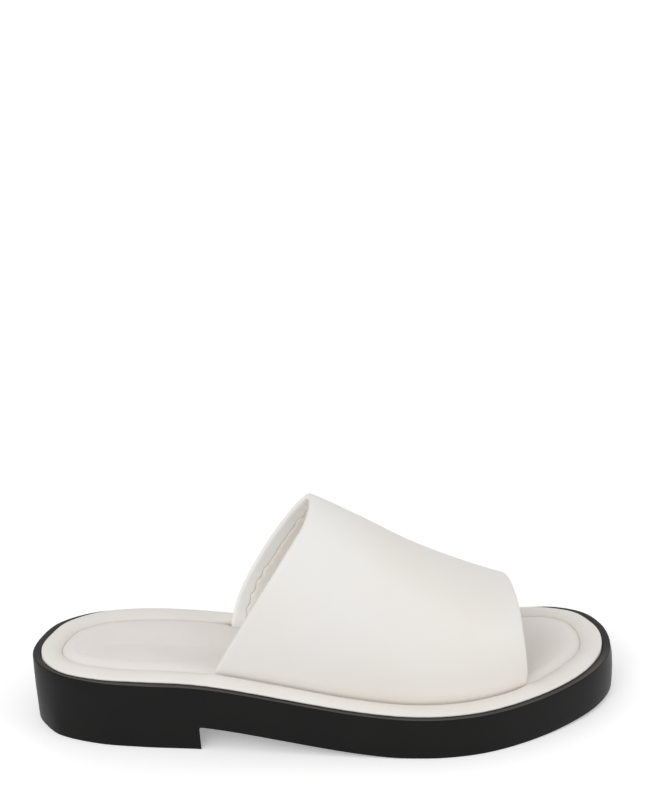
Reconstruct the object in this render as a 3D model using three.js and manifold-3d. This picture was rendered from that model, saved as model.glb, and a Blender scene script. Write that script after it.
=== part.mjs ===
// A slide sandal for the right foot, in millimetres: a moulded black platform sole with a low block
// heel, a padded white footbed let into its top, and one wide band of white leather that rises out of
// the footbed's groove. X runs from heel to toe, Y from the outer side of the foot to the inner side,
// and Z upwards. The origin is under the middle of the sandal, on the floor.
import * as THREE from "three";
import { mergeVertices } from "three/addons/utils/BufferGeometryUtils.js";
import Module from "manifold-3d";

// Sole: overall sizes, then the sizes of its edges. TOE_LEAN is how far the toe's wall tips forward with
// the spring, where 1 would keep it square to the tread.
const SOLE_LENGTH = 264;
const BALL_WIDTH = 96.6;
const HEEL_HEIGHT = 32;
const PLATFORM_THICKNESS = 20;
const TOE_SPRING = 3;
const TOE_LEAN = 0.5;
const HEEL_LENGTH = 73.5;
const HEEL_TAPER = 1.3;
const RIM_EDGE = 0.8;
const TREAD_EDGE = 0.4;

// Where the sole's profile turns, as shares of its length
const SHANK_START = 0.22;
const SHANK_END = 0.652;
const SPRING_START = 0.776;

// Footbed: the black ledge around it, the padded border, the groove and the dished insole
const LEDGE_WIDTH = 3.2;
const TRAY_DEPTH = 4;
const BORDER_WIDTH = 9.2;
const BORDER_CROWN = 2.7;
const INSOLE_EDGE_HEIGHT = 1.9;
const INSOLE_DISH = 1.3;
const GROOVE_ROUNDING = 1.3;
const CLEARANCE = 0.3;

// Upper: height of its crest over the ledge at the collar, and the places of its two edges
const WALL = 2.6;
const INSTEP_HEIGHT = 82.6;
const COLLAR_CREST_X = 125.5;
const COLLAR_OUTER_X = 80.2;
const COLLAR_INNER_X = 90.9;
const FRONT_CREST_X = 218.1;
const FRONT_OUTER_X = 221.1;
const FRONT_INNER_X = 214.8;

// How finely the curves are cut
const STATIONS = 48;
const SAMPLES_PER_ROW = 24;
const ARCH_STEPS = 16;
const ROWS_PER_SIDE = 18;
const COLUMNS = 15;
const FOLD_POINTS = 3;
const FOLD_BACK = 0.2;

// The sole's outline seen from above, once round from the back of the heel along the outer side.
// along is a share of SOLE_LENGTH and across a share of BALL_WIDTH, positive on the inner side; ledge
// and border are the widths there as shares of LEDGE_WIDTH and BORDER_WIDTH.
const OUTLINE = [
  { along: -0.001, across: 0.062, ledge: 1.2, border: 1 },
  { along: 0.006, across: -0.027, ledge: 0.9, border: 1.03 },
  { along: 0.04, across: -0.141, ledge: 0.62, border: 1 },
  { along: 0.102, across: -0.231, ledge: 0.8, border: 1 },
  { along: 0.178, across: -0.282, ledge: 1, border: 1 },
  { along: 0.277, across: -0.325, ledge: 0.95, border: 1.02 },
  { along: 0.402, across: -0.393, ledge: 0.9, border: 1.03 },
  { along: 0.53, across: -0.455, ledge: 0.9, border: 0.95 },
  { along: 0.625, across: -0.491, ledge: 0.9, border: 0.93 },
  { along: 0.689, across: -0.5, ledge: 0.9, border: 0.93 },
  { along: 0.758, across: -0.472, ledge: 0.95, border: 0.92 },
  { along: 0.837, across: -0.386, ledge: 1, border: 0.92 },
  { along: 0.909, across: -0.267, ledge: 0.98, border: 1.13 },
  { along: 0.962, across: -0.14, ledge: 1.12, border: 1.16 },
  { along: 0.992, across: -0.005, ledge: 1.18, border: 1.1 },
  { along: 1, across: 0.135, ledge: 1.22, border: 1.05 },
  { along: 0.993, across: 0.27, ledge: 1.2, border: 0.99 },
  { along: 0.969, across: 0.395, ledge: 1.18, border: 0.9 },
  { along: 0.921, across: 0.478, ledge: 1.18, border: 0.73 },
  { along: 0.852, across: 0.503, ledge: 1.12, border: 0.67 },
  { along: 0.777, across: 0.5, ledge: 1, border: 0.7 },
  { along: 0.682, across: 0.476, ledge: 1, border: 0.74 },
  { along: 0.568, across: 0.435, ledge: 1, border: 0.78 },
  { along: 0.455, across: 0.407, ledge: 1, border: 0.8 },
  { along: 0.36, across: 0.4, ledge: 1, border: 0.81 },
  { along: 0.273, across: 0.415, ledge: 1, border: 0.82 },
  { along: 0.181, across: 0.438, ledge: 1.03, border: 0.85 },
  { along: 0.104, across: 0.422, ledge: 1.14, border: 0.9 },
  { along: 0.042, across: 0.333, ledge: 1.18, border: 0.96 },
  { along: 0.008, across: 0.178, ledge: 1.2, border: 0.98 },
];

// The last over the ledge, a row for each section: crest is a share of INSTEP_HEIGHT, ridge the crest's
// place as a share of BALL_WIDTH, and spread how far out from the ridge the top stays flat.
const CRESTS = [
  { along: 0.303, crest: 1.143, ridge: 0.041, spread: 0.7 },
  { along: 0.477, crest: 1.0, ridge: 0.041, spread: 0.7 },
  { along: 0.568, crest: 0.868, ridge: 0.041, spread: 0.72 },
  { along: 0.682, crest: 0.657, ridge: 0.041, spread: 0.74 },
  { along: 0.803, crest: 0.468, ridge: 0.047, spread: 0.75 },
  { along: 0.89, crest: 0.368, ridge: 0.052, spread: 0.75 },
];

// The last's two sides at the same sections: lean is the angle in degrees at which a side leaves the
// groove, and rise the share of the height over which it stays steep.
const SIDES = [
  { along: 0.303, leanOuter: 17, leanInner: 19, riseOuter: 0.48, riseInner: 0.52 },
  { along: 0.477, leanOuter: 17, leanInner: 19, riseOuter: 0.48, riseInner: 0.52 },
  { along: 0.568, leanOuter: 15, leanInner: 16, riseOuter: 0.5, riseInner: 0.54 },
  { along: 0.682, leanOuter: 12, leanInner: 12, riseOuter: 0.52, riseInner: 0.54 },
  { along: 0.803, leanOuter: 9, leanInner: 9, riseOuter: 0.54, riseInner: 0.56 },
  { along: 0.89, leanOuter: 7, leanInner: 7, riseOuter: 0.56, riseInner: 0.56 },
];

// The upper's two edges. up is the share of the way from groove to crest; the collar columns are shares
// of the way from the collar's foot to its crest along X, the front columns the same for the front edge.
const EDGES = [
  { up: 0.0, collarOuter: 0.0, collarInner: 0.0, frontOuter: 0.0, frontInner: 0.0 },
  { up: 0.1, collarOuter: 0.112, collarInner: 0.108, frontOuter: -0.17, frontInner: 0.06 },
  { up: 0.3, collarOuter: 0.365, collarInner: 0.427, frontOuter: 0.09, frontInner: 0.2 },
  { up: 0.5, collarOuter: 0.626, collarInner: 0.71, frontOuter: 0.4, frontInner: 0.37 },
  { up: 0.7, collarOuter: 0.856, collarInner: 0.908, frontOuter: 0.62, frontInner: 0.57 },
  { up: 0.8, collarOuter: 0.935, collarInner: 0.961, frontOuter: 0.72, frontInner: 0.69 },
  { up: 0.9, collarOuter: 0.982, collarInner: 0.983, frontOuter: 0.85, frontInner: 0.86 },
  { up: 1.0, collarOuter: 1.0, collarInner: 1.0, frontOuter: 1.0, frontInner: 1.0 },
];

// The border's cross-section: across from its outer edge to the groove, height as a share of its crown
const BORDER_PROFILE = [
  { across: 0.0, height: 0.1 },
  { across: 0.08, height: 0.5 },
  { across: 0.22, height: 0.86 },
  { across: 0.42, height: 1.0 },
  { across: 0.65, height: 0.95 },
  { across: 0.86, height: 0.78 },
  { across: 0.96, height: 0.5 },
  { across: 1.0, height: 0.12 },
];

// Share of the way across the insole where its top surface has a point, from one edge to the other
const INSOLE_ACROSS = [0.12, 0.26, 0.42, 0.58, 0.74, 0.88];

const wasm = await Module();
wasm.setup();

function smoothStep(value, from, to) {
  return THREE.MathUtils.smoothstep(value, from, to);
}

// Height of the black ledge over the floor: level at the heel, down the shank, level, then the spring.
function ledgeHeight(x) {
  const shank = smoothStep(x, SHANK_START * SOLE_LENGTH, SHANK_END * SOLE_LENGTH);
  return HEEL_HEIGHT + (PLATFORM_THICKNESS - HEEL_HEIGHT) * shank + toeSpring(x);
}

function toeSpring(x) {
  const start = SPRING_START * SOLE_LENGTH;
  const share = Math.max(0, (x - start) / (SOLE_LENGTH - start));
  return TOE_SPRING * share ** 2;
}

function toeSpringSlope(x) {
  const start = SPRING_START * SOLE_LENGTH;
  return (2 * TOE_SPRING * Math.max(0, x - start)) / (SOLE_LENGTH - start) ** 2;
}

// A smooth curve through four evenly spaced values, from the second at t 0 to the third at t 1
function smoothBetween(before, from, to, after, t) {
  const start = (to - before) / 2;
  const end = (after - from) / 2;
  return hermite(from, to, start, end, t);
}

function hermite(from, to, startSlope, endSlope, t) {
  const bend = t * (1 - t) * (startSlope * (1 - t) - endSlope * t);
  return from * (1 + 2 * t) * (1 - t) ** 2 + to * t ** 2 * (3 - 2 * t) + bend;
}

// The outline as a dense closed line of points, each with its inward normal and its two widths
function denseOutline() {
  const corner = (row) => new THREE.Vector3(row.along * SOLE_LENGTH, row.across * BALL_WIDTH, 0);
  const corners = OUTLINE.map(corner);
  const curve = new THREE.CatmullRomCurve3(corners, true, "centripetal");
  const rows = OUTLINE.length;
  const rowAt = (i) => OUTLINE[(i + rows) % rows];
  const line = [];
  for (let i = 0; i < rows * SAMPLES_PER_ROW; i += 1) {
    const row = Math.floor(i / SAMPLES_PER_ROW);
    const t = i / SAMPLES_PER_ROW - row;
    const near = [rowAt(row - 1), rowAt(row), rowAt(row + 1), rowAt(row + 2)];
    const point = curve.getPoint(i / (rows * SAMPLES_PER_ROW));
    const ledge = LEDGE_WIDTH * smoothBetween(...near.map((r) => r.ledge), t);
    const border = BORDER_WIDTH * smoothBetween(...near.map((r) => r.border), t);
    line.push({ x: point.x, y: point.y, ledge, border });
  }
  return line.map((point, i) => {
    const next = line[(i + 1) % line.length];
    const last = line[(i + line.length - 1) % line.length];
    const length = Math.hypot(next.x - last.x, next.y - last.y);
    return { ...point, inX: -(next.y - last.y) / length, inY: (next.x - last.x) / length };
  });
}

// A line inside the outline by the distance that inset(point) gives, split into its two sides
function insetLine(inset) {
  const line = DENSE.map((p) => {
    const distance = inset(p);
    return { x: p.x + p.inX * distance, y: p.y + p.inY * distance, distance };
  }).filter((q) => DENSE.every((p) => Math.hypot(q.x - p.x, q.y - p.y) > q.distance - FOLD_BACK));
  const heel = line.reduce((best, p, i) => (p.x < line[best].x ? i : best), 0);
  const turned = [...line.slice(heel), ...line.slice(0, heel)];
  const toe = turned.reduce((best, p, i) => (p.x > turned[best].x ? i : best), 0);
  return {
    heel: turned[0],
    toe: turned[toe],
    outer: turned.slice(0, toe + 1),
    inner: [...turned.slice(toe), turned[0]].reverse(),
  };
}

// Y of one side of an inset line at x
function sideAt(side, x) {
  let i = 1;
  while (i < side.length - 1 && side[i].x < x) i += 1;
  const from = side[i - 1];
  const to = side[i];
  const share = THREE.MathUtils.clamp((x - from.x) / (to.x - from.x || 1), 0, 1);
  return from.y + (to.y - from.y) * share;
}

// A ring of points on an inset line, with stations close together at the two ends.
// Lower indices run along the outer side, and station i of the outer side faces station i of the inner.
function ring(line, height, shift = () => 0) {
  const place = (x, y) => new THREE.Vector3(x + shift(x), y, height(x));
  const outer = [];
  const inner = [];
  for (let i = 1; i < STATIONS; i += 1) {
    const share = (1 - Math.cos((Math.PI * i) / STATIONS)) / 2;
    const x = line.heel.x + (line.toe.x - line.heel.x) * share;
    outer.push(place(x, sideAt(line.outer, x)));
    inner.push(place(x, sideAt(line.inner, x)));
  }
  return [place(line.heel.x, line.heel.y), ...outer, place(line.toe.x, line.toe.y), ...inner.reverse()];
}

// Triangles joining one closed row of points to the next, where both rows start at given indices
function band(triangles, from, to, count) {
  for (let i = 0; i < count; i += 1) {
    const next = (i + 1) % count;
    triangles.push([from + i, from + next, to + next], [from + i, to + next, to + i]);
  }
}

// Triangles across a ring, from its outer side to its inner side; facing is 1 for up and -1 for down
function cap(triangles, start, facing) {
  const count = 2 * STATIONS;
  const add = (a, b, c) => triangles.push(facing > 0 ? [a, b, c] : [a, c, b]);
  for (let i = 0; i < STATIONS; i += 1) {
    const outer = start + i;
    const outerNext = start + i + 1;
    const inner = start + ((count - i) % count);
    const innerNext = start + count - i - 1;
    if (i > 0) add(outer, outerNext, inner);
    if (i === 0) add(outer, outerNext, innerNext);
    else if (i < STATIONS - 1) add(outerNext, innerNext, inner);
  }
}

// A closed solid from rows of points and triangles that index them
function solidFrom(points, triangles) {
  const geometry = new THREE.BufferGeometry();
  const numbers = points.flatMap((p) => p.toArray());
  geometry.setAttribute("position", new THREE.Float32BufferAttribute(numbers, 3));
  geometry.setIndex(triangles.flat());
  return solidOf(geometry);
}

function solidOf(geometry) {
  const bare = geometry.clone();
  bare.deleteAttribute("normal");
  bare.deleteAttribute("uv");
  const merged = mergeVertices(bare, 1e-4);
  return new wasm.Manifold(
    new wasm.Mesh({
      numProp: 3,
      vertProperties: new Float32Array(merged.attributes.position.array),
      triVerts: new Uint32Array(merged.index.array),
    }),
  );
}

function geometryOf(solid) {
  const mesh = solid.getMesh();
  const geometry = new THREE.BufferGeometry();
  geometry.setAttribute("position", new THREE.BufferAttribute(new Float32Array(mesh.vertProperties), 3));
  geometry.setIndex(new THREE.BufferAttribute(new Uint32Array(mesh.triVerts), 1));
  geometry.computeVertexNormals();
  return geometry;
}

const DENSE = denseOutline();

// Insets from the outline: the ledge's inner edge, and the groove's middle
const ledgeInset = (p) => p.ledge;
const grooveInset = (p) => p.ledge + p.border;
const GROOVE = insetLine(grooveInset);

// The moulded sole: walls, ledge and tray from rings, then the arch in front of the heel cut away
function makeSole() {
  const taper = (p) => HEEL_TAPER * (1 - smoothStep(p.x, 0, HEEL_LENGTH / 3));
  const flare = (x) => toeSpringSlope(x) * PLATFORM_THICKNESS * TOE_LEAN;
  const edge = insetLine((p) => taper(p));
  const rings = [
    ring(insetLine((p) => taper(p) + TREAD_EDGE), toeSpring, flare),
    ring(edge, (x) => toeSpring(x) + TREAD_EDGE, flare),
    ring(insetLine(() => 0), (x) => ledgeHeight(x) - RIM_EDGE),
    ring(insetLine(() => RIM_EDGE), ledgeHeight),
    ring(insetLine(ledgeInset), ledgeHeight),
    ring(insetLine(ledgeInset), (x) => ledgeHeight(x) - TRAY_DEPTH),
  ];
  const count = 2 * STATIONS;
  const triangles = [];
  cap(triangles, 0, -1);
  for (let i = 0; i < rings.length - 1; i += 1) band(triangles, i * count, (i + 1) * count, count);
  cap(triangles, (rings.length - 1) * count, 1);
  return solidFrom(rings.flat(), triangles).subtract(archVoid());
}

// The air under the shank, from the heel's front face to where the forefoot meets the floor
function archVoid() {
  const below = HEEL_HEIGHT;
  const end = SHANK_END * SOLE_LENGTH;
  const profile = new THREE.Shape();
  profile.moveTo(HEEL_LENGTH, -below);
  for (let i = 0; i <= ARCH_STEPS; i += 1) {
    const x = HEEL_LENGTH + ((end - HEEL_LENGTH) * i) / ARCH_STEPS;
    profile.lineTo(x, Math.max(0, ledgeHeight(x) - PLATFORM_THICKNESS));
  }
  profile.lineTo(end, -below);
  const prism = new THREE.ExtrudeGeometry(profile, { depth: 2 * BALL_WIDTH, bevelEnabled: false });
  prism.rotateX(Math.PI / 2);
  prism.translate(0, BALL_WIDTH, 0);
  return solidOf(prism);
}

// The padded border: a ring whose section follows BORDER_PROFILE over the ledge and fills the tray
function makeBorder(slot) {
  const outerInset = (p) => ledgeInset(p) + CLEARANCE;
  const innerInset = (p) => grooveInset(p) - CLEARANCE;
  const between = (share) => insetLine((p) => outerInset(p) + (innerInset(p) - outerInset(p)) * share);
  const floor = (x) => ledgeHeight(x) - TRAY_DEPTH + CLEARANCE;
  const crown = (row) => ring(between(row.across), (x) => ledgeHeight(x) + BORDER_CROWN * row.height);
  const rows = BORDER_PROFILE.map(crown);
  const rings = [ring(between(0), floor), ...rows, ring(between(1), floor)];
  const count = 2 * STATIONS;
  const triangles = [];
  rings.forEach((_, i) => band(triangles, i * count, ((i + 1) % rings.length) * count, count));
  return solidFrom(rings.flat(), triangles).subtract(slot);
}

// The insole inside the groove: a pad with rounded edges whose top is dished
function makeInsole(slot) {
  const wallInset = (p) => grooveInset(p) + CLEARANCE;
  const wall = insetLine(wallInset);
  const shoulder = insetLine((p) => wallInset(p) + GROOVE_ROUNDING / 3);
  const top = insetLine((p) => wallInset(p) + GROOVE_ROUNDING);
  const edge = (x) => ledgeHeight(x) + INSOLE_EDGE_HEIGHT;
  const rings = [
    ring(wall, (x) => ledgeHeight(x) - TRAY_DEPTH + CLEARANCE),
    ring(wall, (x) => edge(x) - GROOVE_ROUNDING),
    ring(shoulder, (x) => edge(x) - GROOVE_ROUNDING / 3),
    ring(top, edge),
  ];
  const count = 2 * STATIONS;
  const triangles = [];
  cap(triangles, 0, -1);
  for (let i = 0; i < rings.length - 1; i += 1) band(triangles, i * count, (i + 1) * count, count);
  const points = rings.flat();
  dishedTop(points, triangles, (rings.length - 1) * count);
  return solidFrom(points, triangles).subtract(slot);
}

// The dished top inside the ring that starts at the given index: a row of points at each station
function dishedTop(points, triangles, start) {
  const count = 2 * STATIONS;
  const heel = points[start];
  const toe = points[start + STATIONS];
  const rows = [];
  for (let i = 1; i < STATIONS; i += 1) {
    const outer = start + i;
    const inner = start + count - i;
    const a = points[outer];
    const b = points[inner];
    const endShare = Math.min(a.x - heel.x, toe.x - a.x) / ((toe.x - heel.x) / 2);
    const depth = INSOLE_DISH * smoothStep(endShare, 0, 0.35);
    const row = [outer];
    INSOLE_ACROSS.forEach((share) => {
      const p = a.clone().lerp(b, share);
      p.z -= depth * Math.sin(Math.PI * share);
      row.push(points.length);
      points.push(p);
    });
    row.push(inner);
    rows.push(row);
  }
  const last = rows[rows.length - 1];
  for (let k = 0; k + 1 < last.length; k += 1) {
    triangles.push([start, rows[0][k], rows[0][k + 1]]);
    triangles.push([start + STATIONS, last[k + 1], last[k]]);
    for (let i = 0; i + 1 < rows.length; i += 1) {
      const [a, b] = [rows[i], rows[i + 1]];
      triangles.push([a[k], b[k], b[k + 1]], [a[k], b[k + 1], a[k + 1]]);
    }
  }
}

// A column of a table on a smooth curve through its rows, where key names the column that at is in
function tableValue(table, key, column, at) {
  let i = 0;
  while (i < table.length - 2 && table[i + 1][key] < at) i += 1;
  const slope = (k) => {
    const from = table[Math.max(0, k - 1)];
    const to = table[Math.min(table.length - 1, k + 1)];
    return (to[column] - from[column]) / (to[key] - from[key]);
  };
  const [from, to] = [table[i], table[i + 1]];
  const span = to[key] - from[key];
  const t = THREE.MathUtils.clamp((at - from[key]) / span, 0, 1);
  return hermite(from[column], to[column], slope(i) * span, slope(i + 1) * span, t);
}

const crestValue = (column, x) => tableValue(CRESTS, "along", column, x / SOLE_LENGTH);
const sideValue = (column, x) => tableValue(SIDES, "along", column, x / SOLE_LENGTH);

function bezier(a, b, c, d, t) {
  return a * (1 - t) ** 3 + 3 * b * (1 - t) ** 2 * t + 3 * c * (1 - t) * t ** 2 + d * t ** 3;
}

// The last's surface: turn 0 is the outer side at the groove, 1 the crest, 2 the inner side at the groove
function lastPoint(x, turn) {
  const outer = turn <= 1;
  const t = outer ? turn : 2 - turn;
  const base = ledgeHeight(x) + INSOLE_EDGE_HEIGHT;
  const top = ledgeHeight(x) + INSTEP_HEIGHT * crestValue("crest", x);
  const ridge = BALL_WIDTH * crestValue("ridge", x);
  const foot = sideAt(outer ? GROOVE.outer : GROOVE.inner, x);
  const lean = THREE.MathUtils.degToRad(sideValue(outer ? "leanOuter" : "leanInner", x));
  const rise = (top - base) * sideValue(outer ? "riseOuter" : "riseInner", x);
  const sideways = (outer ? -rise : rise) * Math.sin(lean);
  const shoulder = ridge + (foot - ridge) * crestValue("spread", x);
  const y = bezier(foot, foot + sideways, shoulder, ridge, t);
  const z = bezier(base, base + rise * Math.cos(lean), top, top, t);
  return new THREE.Vector3(x, y, z);
}

// X of the collar's edge and of the front edge at a turn
function collarX(turn) {
  const outer = turn <= 1;
  const foot = outer ? COLLAR_OUTER_X : COLLAR_INNER_X;
  const share = tableValue(EDGES, "up", outer ? "collarOuter" : "collarInner", outer ? turn : 2 - turn);
  return foot + (COLLAR_CREST_X - foot) * share;
}

function frontX(turn) {
  const outer = turn <= 1;
  const foot = outer ? FRONT_OUTER_X : FRONT_INNER_X;
  const share = tableValue(EDGES, "up", outer ? "frontOuter" : "frontInner", outer ? turn : 2 - turn);
  return foot + (FRONT_CREST_X - foot) * share;
}

// Outward normal of the last at x and turn, from its neighbours
function lastNormal(x, turn) {
  const step = 0.01;
  const along = lastPoint(x + 0.5, turn).sub(lastPoint(x - 0.5, turn));
  const [low, high] = [Math.max(0, turn - step), Math.min(2, turn + step)];
  const round = lastPoint(x, high).sub(lastPoint(x, low));
  return along.cross(round).normalize();
}

// One loop of points round the wall at a turn: outer face, folded front edge, inner face, folded collar.
// outside and inside are the distances of the two faces from the last; the edges move out by grow.
function wallLoop(turn, outside, inside, grow) {
  const thickness = outside + inside;
  const start = collarX(turn) - grow + thickness / 2;
  const end = frontX(turn) + grow - thickness / 2;
  const at = (x, depth) => lastPoint(x, turn).addScaledVector(lastNormal(x, turn), outside - depth);
  const xs = Array.from({ length: COLUMNS }, (_, i) => start + ((end - start) * i) / (COLUMNS - 1));
  const fold = (x, way) =>
    Array.from({ length: FOLD_POINTS }, (_, i) => {
      const angle = (Math.PI * (i + 1)) / (FOLD_POINTS + 1);
      return at(x + (way * Math.sin(angle) * thickness) / 2, ((1 - Math.cos(angle)) * thickness) / 2);
    });
  return [
    ...xs.map((x) => at(x, 0)),
    ...fold(end, 1),
    ...xs.slice().reverse().map((x) => at(x, thickness)),
    ...fold(start, -1).reverse(),
  ];
}

// The band as one closed wall. Below the groove's edge it runs straight down to bottom(x).
function makeBand(outside, inside, grow, bottom) {
  const turns = [];
  for (let i = 0; i <= 2 * ROWS_PER_SIDE; i += 1) turns.push(i / ROWS_PER_SIDE);
  const loops = turns.map((turn) => wallLoop(turn, outside, inside, grow));
  const lowered = (loop, share) =>
    loop.map((p) => {
      const q = p.clone();
      q.z += (bottom(p.x) - p.z) * share;
      return q;
    });
  loops.unshift(lowered(loops[0], 1));
  loops.push(lowered(loops[loops.length - 1], 1));
  const count = loops[0].length;
  const triangles = [];
  for (let i = 0; i + 1 < loops.length; i += 1) band(triangles, i * count, (i + 1) * count, count);
  const close = (start, flip) => {
    const add = (p, q, r) => triangles.push(flip ? [p, r, q] : [p, q, r]);
    const outer = (k) => start + k;
    const inner = (k) => start + 2 * COLUMNS + FOLD_POINTS - 1 - k;
    const last = COLUMNS - 1;
    for (let k = 0; k < last; k += 1) {
      add(outer(k), outer(k + 1), inner(k + 1));
      add(outer(k), inner(k + 1), inner(k));
    }
    for (let k = 0; k < FOLD_POINTS; k += 1) {
      add(outer(last), outer(COLUMNS + k), outer(COLUMNS + k + 1));
      add(inner(0), inner(0) + k + 1, k + 1 < FOLD_POINTS ? inner(0) + k + 2 : outer(0));
    }
  };
  close(0, true);
  close((loops.length - 1) * count, false);
  return solidFrom(loops.flat(), triangles);
}

const tail = (x) => ledgeHeight(x) - TRAY_DEPTH + CLEARANCE;
const upper = makeBand(0, WALL, 0, tail);
const slot = makeBand(CLEARANCE, WALL + CLEARANCE, CLEARANCE, (x) => tail(x) - 2 * CLEARANCE);

const BLACK_SOLE = { name: "black_sole", color: 0x1f1f1e, roughness: 0.45, metalness: 0 };
const WHITE_LEATHER = { name: "white_leather", color: 0xefece6, roughness: 0.5, metalness: 0 };
const WHITE_INSOLE = { name: "white_insole", color: 0xe8e3dd, roughness: 0.55, metalness: 0 };

function named(name, solid, finish) {
  const mesh = new THREE.Mesh(geometryOf(solid), new THREE.MeshStandardMaterial(finish));
  mesh.name = name;
  return mesh;
}

const sole = named("sole", makeSole(), BLACK_SOLE);
const sandal = new THREE.Group();
sandal.name = "slide_sandal";
sandal.add(
  sole,
  named("footbed_border", makeBorder(slot), WHITE_LEATHER),
  named("insole", makeInsole(slot), WHITE_INSOLE),
  named("upper", upper, WHITE_LEATHER),
);

const extent = new THREE.Box3().setFromObject(sole);
sandal.position.set(-(extent.min.x + extent.max.x) / 2, -(extent.min.y + extent.max.y) / 2, -extent.min.z);

export default sandal;
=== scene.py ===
# A white leather slide sandal on a black platform sole, dressed over its solid model.
# Lengths in the tables below are millimetres measured from the back of the heel; X runs to the toe,
# Y from the outer side of the foot to the inner side. Meshes are made in metres in the model's frame.
import math

import bpy
import numpy as np
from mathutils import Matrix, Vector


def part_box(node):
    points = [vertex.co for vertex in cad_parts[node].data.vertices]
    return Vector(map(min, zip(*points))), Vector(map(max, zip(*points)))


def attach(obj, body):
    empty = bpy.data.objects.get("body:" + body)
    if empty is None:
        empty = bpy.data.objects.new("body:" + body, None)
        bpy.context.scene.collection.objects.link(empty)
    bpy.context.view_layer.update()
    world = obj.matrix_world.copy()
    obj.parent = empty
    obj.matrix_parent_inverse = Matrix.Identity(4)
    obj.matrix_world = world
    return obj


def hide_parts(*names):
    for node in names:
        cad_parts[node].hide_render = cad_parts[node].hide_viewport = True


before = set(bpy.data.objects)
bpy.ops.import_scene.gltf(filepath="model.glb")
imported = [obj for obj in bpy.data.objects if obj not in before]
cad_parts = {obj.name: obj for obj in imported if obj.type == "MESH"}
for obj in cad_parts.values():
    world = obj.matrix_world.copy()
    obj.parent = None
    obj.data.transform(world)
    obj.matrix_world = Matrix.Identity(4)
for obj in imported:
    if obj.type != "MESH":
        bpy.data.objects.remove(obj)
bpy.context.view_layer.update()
MM = 0.001

# Sizes of the sole and footbed. The heel's taper and lean, the ledge's far corners, the border's swell
# and the insole's roll are shaped here more closely than in the solids.
SOLE_LENGTH = 264.0
BALL_WIDTH = 96.6
HEEL_HEIGHT = 32.0
PLATFORM_THICKNESS = 20.0
TOE_SPRING = 3.0
TOE_LEAN = 0.5
HEEL_LENGTH = 73.5
HEEL_TAPER = 2.15
TAPER_REACH = 11.0
BREAST_LEAN = 0.9
BREAST_CORNER = 0.8
TREAD_RECESS = 5.5
LEDGE_WIDTH = 3.2
HEEL_CORNER_IN = 0.45
HEEL_CORNER_LEDGE = 1.0
TOE_CORNER_LEDGE = 1.3
TRAY_DEPTH = 4.0
BORDER_WIDTH = 9.2
BORDER_CROWN = 2.7
BORDER_SWELL = 1.55
BORDER_GAP = 0.3
INSOLE_EDGE = 1.9
INSOLE_DISH = 1.3
INSOLE_ROLL = 5.6
PAD_CLEARANCE = 0.04
PAD_LIFT = 0.4

# Where the profile turns, as shares of the sole's length
SHANK_START = 0.22
SHANK_END = 0.652
SPRING_START = 0.776

# Sizes of the band; its outer side is where Y is below MIDDLE_Y
WALL = 2.6
INSTEP_HEIGHT = 82.6
COLLAR_CREST_X = 125.5
COLLAR_OUTER_X = 80.2
COLLAR_INNER_X = 90.9
FRONT_CREST_X = 218.1
FRONT_OUTER_X = 221.1
FRONT_INNER_X = 214.8
LEATHER = 1.1
FOLD_DEPTH = 2.95
COLLAR_TURN_IN = 5.4
FRONT_TURN_IN = 6.5
BAND_CLEARANCE = 0.4
BAND_CREASE = 0.6
BAND_TUCK = 0.45
BAND_LIFT = 0.5
LINING_GAP = 0.32
LINING_DEPTH = 2.78
MIDDLE_Y = 6.0

# The outline once round from the back of the heel: shares of sole length and ball width, then the
# widths of the ledge and the border as shares of their sizes
OUTLINE = [
    (-0.001, 0.062, 1.2, 1.0),
    (0.006, -0.027, 0.9, 1.03),
    (0.04, -0.141, 0.62, 1.0),
    (0.102, -0.231, 0.8, 1.0),
    (0.178, -0.282, 1.0, 1.0),
    (0.277, -0.325, 0.95, 1.02),
    (0.402, -0.393, 0.9, 1.03),
    (0.53, -0.455, 0.9, 0.95),
    (0.625, -0.491, 0.9, 0.93),
    (0.689, -0.5, 0.9, 0.93),
    (0.758, -0.472, 0.95, 0.92),
    (0.837, -0.386, 1.0, 0.92),
    (0.909, -0.267, 0.98, 1.13),
    (0.962, -0.14, 1.12, 1.16),
    (0.992, -0.005, 1.18, 1.1),
    (1.0, 0.135, 1.22, 1.05),
    (0.993, 0.27, 1.2, 0.99),
    (0.969, 0.395, 1.18, 0.9),
    (0.921, 0.478, 1.18, 0.73),
    (0.852, 0.503, 1.12, 0.67),
    (0.777, 0.5, 1.0, 0.7),
    (0.682, 0.476, 1.0, 0.74),
    (0.568, 0.435, 1.0, 0.78),
    (0.455, 0.407, 1.0, 0.8),
    (0.36, 0.4, 1.0, 0.81),
    (0.273, 0.415, 1.0, 0.82),
    (0.181, 0.438, 1.03, 0.85),
    (0.104, 0.422, 1.14, 0.9),
    (0.042, 0.333, 1.18, 0.96),
    (0.008, 0.178, 1.2, 0.98),
]

# The last at six sections: place, crest, ridge, spread, then lean and rise of the outer and inner sides
SECTION_COLUMNS = "along crest ridge spread lean_outer lean_inner rise_outer rise_inner".split()
SECTIONS = [
    (0.303, 1.143, 0.041, 0.7, 17, 19, 0.48, 0.52),
    (0.477, 1.0, 0.041, 0.7, 17, 19, 0.48, 0.52),
    (0.568, 0.868, 0.041, 0.72, 15, 16, 0.5, 0.54),
    (0.682, 0.657, 0.041, 0.74, 12, 12, 0.52, 0.54),
    (0.803, 0.468, 0.047, 0.75, 9, 9, 0.54, 0.56),
    (0.89, 0.368, 0.052, 0.75, 7, 7, 0.56, 0.56),
]

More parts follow.
